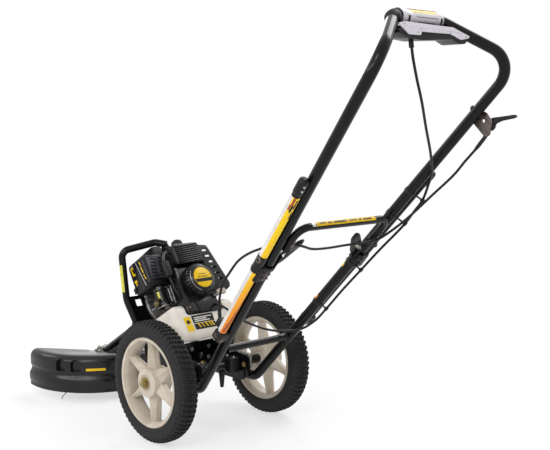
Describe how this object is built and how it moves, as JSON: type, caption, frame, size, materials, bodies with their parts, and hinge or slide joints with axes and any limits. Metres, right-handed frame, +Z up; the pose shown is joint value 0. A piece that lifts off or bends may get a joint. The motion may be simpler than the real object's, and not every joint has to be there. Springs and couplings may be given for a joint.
{
  "type": "petrol lawn mower",
  "caption": "Two-wheeled petrol string trimmer mower with folding loop handle, rear engine over the axle and a hood around the trimmer head.",
  "frame": {"origin": "on the ground, on the trimmer head's axis, at the foot of its glide cup", "axes": "+Y is forward, +X is to the operator's right, +Z is up"},
  "size_m": [0.461, 1.4296, 1.036],
  "materials": {
    "wheel_plastic": "moulded beige grey",
    "tyre_rubber": "matt, knobbly tread",
    "rubber": "matt",
    "zinc_steel": "zinc plated",
    "cast_aluminium": "as cast",
    "black_paint": "gloss black",
    "strut_paint": "gloss yellow",
    "black_plastic": "satin black",
    "grey_plastic": "satin silver grey",
    "tank_plastic": "translucent natural",
    "yellow_plastic": "satin yellow"
  },
  "bodies": {
    "chassis": {"chassis_tube_left": "black_paint", "chassis_tube_right": "black_paint", "upper_cross_tube": "black_paint", "chassis_plate": "black_paint", "axle": "zinc_steel", "axle_nut_left": "zinc_steel", "axle_nut_right": "zinc_steel", "parking_peg": "rubber", "strut_left": "strut_paint", "strut_right": "strut_paint", "strut_cap_left": "black_plastic", "strut_cap_right": "black_plastic", "hinge_clamp_left": "black_plastic", "hinge_clamp_right": "black_plastic", "strut_foot_left": "black_plastic", "strut_foot_right": "black_plastic", "cable_hook_left": "black_paint", "cable_hook_right": "black_paint", "starter_cover": "black_plastic", "fan_shroud": "black_plastic", "cylinder_cover": "black_plastic", "muffler_guard": "black_plastic", "muffler": "zinc_steel", "crankcase": "cast_aluminium", "cylinder": "cast_aluminium", "spark_plug_boot": "rubber", "carburettor": "cast_aluminium", "air_filter_cover": "black_plastic", "fuel_tank": "tank_plastic", "clutch_housing": "cast_aluminium", "drive_tube": "black_paint", "engine_guard": "black_paint", "gearbox": "cast_aluminium", "deck": "black_plastic", "presence_cable": "black_plastic", "throttle_cable": "black_plastic"},
    "handle": {"handle_loop": "black_paint", "cross_brace": "black_paint", "console_body": "black_plastic", "console_plate": "grey_plastic", "throttle_bracket": "zinc_steel"},
    "presence_grip": {"presence_grip": "grey_plastic"},
    "throttle_lever": {"throttle_lever": "black_plastic"},
    "throttle_cam": {"throttle_cam": "zinc_steel"},
    "left_wheel": {"wheel_left": "wheel_plastic", "tyre_left": "tyre_rubber"},
    "right_wheel": {"wheel_right": "wheel_plastic", "tyre_right": "tyre_rubber"},
    "trimmer_head": {"trimmer_head": "black_plastic", "trimmer_line": "yellow_plastic"},
    "drive_shaft": {"drive_shaft": "zinc_steel", "clutch_drum": "zinc_steel"},
    "crankshaft": {"crankshaft": "zinc_steel", "flywheel": "cast_aluminium"},
    "starter_handle": {"starter_handle": "wheel_plastic", "starter_rope": "rubber"},
    "primer_bulb": {"primer_bulb": "yellow_plastic"},
    "choke_lever": {"choke_lever": "black_plastic"},
    "fuel_cap": {"fuel_cap": "black_plastic"}
  },
  "joints": [
    {"name": "wheel_left_spin", "type": "hinge", "parent": "chassis", "child": "left_wheel", "pos_m": [-0.1885, -0.565, 0.155], "axis": [1, 0, 0], "continuous": true},
    {"name": "wheel_right_spin", "type": "hinge", "parent": "chassis", "child": "right_wheel", "pos_m": [0.1885, -0.565, 0.155], "axis": [1, 0, 0], "continuous": true},
    {"name": "handle_fold", "type": "hinge", "parent": "chassis", "child": "handle", "pos_m": [0, -0.96176, 0.508], "axis": [-1, 0, 0], "range_deg": [0, 110], "deforming": ["presence_cable", "throttle_cable"]},
    {"name": "presence_grip_turn", "type": "hinge", "parent": "handle", "child": "presence_grip", "pos_m": [0, -1.238, 1.018], "axis": [1, 0, 0], "range_deg": [0, 15], "stiffness_Nm_per_rad": 0.5, "springref_deg": -11.46},
    {"name": "throttle_lever_turn", "type": "hinge", "parent": "handle", "child": "throttle_lever", "pos_m": [0.21792, -1.26246, 0.8], "axis": [1, 0, 0], "range_deg": [0, 40], "stiffness_Nm_per_rad": 0.1, "springref_deg": -14.32},
    {"name": "throttle_cam_turn", "type": "hinge", "parent": "chassis", "child": "throttle_cam", "pos_m": [-0.07, -0.46374, 0.31336], "axis": [0, 0.515, 0.8572], "range_deg": [0, 80]},
    {"name": "head_spin", "type": "hinge", "parent": "chassis", "child": "trimmer_head", "pos_m": [0, 0, 0], "axis": [0, 0, 1], "continuous": true},
    {"name": "drive_shaft_spin", "type": "hinge", "parent": "chassis", "child": "drive_shaft", "pos_m": [0, 0, 0.0794], "axis": [0, 0.8572, -0.515], "continuous": true},
    {"name": "crank_spin", "type": "hinge", "parent": "chassis", "child": "crankshaft", "pos_m": [0, -0.52202, 0.39306], "axis": [0, 0.8572, -0.515], "continuous": true},
    {"name": "starter_pull", "type": "slide", "parent": "chassis", "child": "starter_handle", "axis": [1, 0, 0], "range_m": [0, 0.6], "stiffness_N_per_m": 10, "springref_m": -0.4},
    {"name": "primer_press", "type": "slide", "parent": "chassis", "child": "primer_bulb", "axis": [1, 0, 0], "range_m": [0, 0.004], "stiffness_N_per_m": 400, "springref_m": -0.002},
    {"name": "choke_turn", "type": "hinge", "parent": "chassis", "child": "choke_lever", "pos_m": [-0.088, -0.46021, 0.36059], "axis": [0, 0.8572, -0.515], "range_deg": [0, 60]},
    {"name": "fuel_cap_turn", "type": "hinge", "parent": "chassis", "child": "fuel_cap", "pos_m": [0.084, -0.41191, 0.26565], "axis": [0, 0.515, 0.8572], "range_deg": [0, 360]}
  ],
  "couplings": [
    {"joint": "throttle_cam_turn", "follows": "throttle_lever_turn", "ratio": 2},
    {"joint": "drive_shaft_spin", "follows": "head_spin", "ratio": -2}
  ]
}
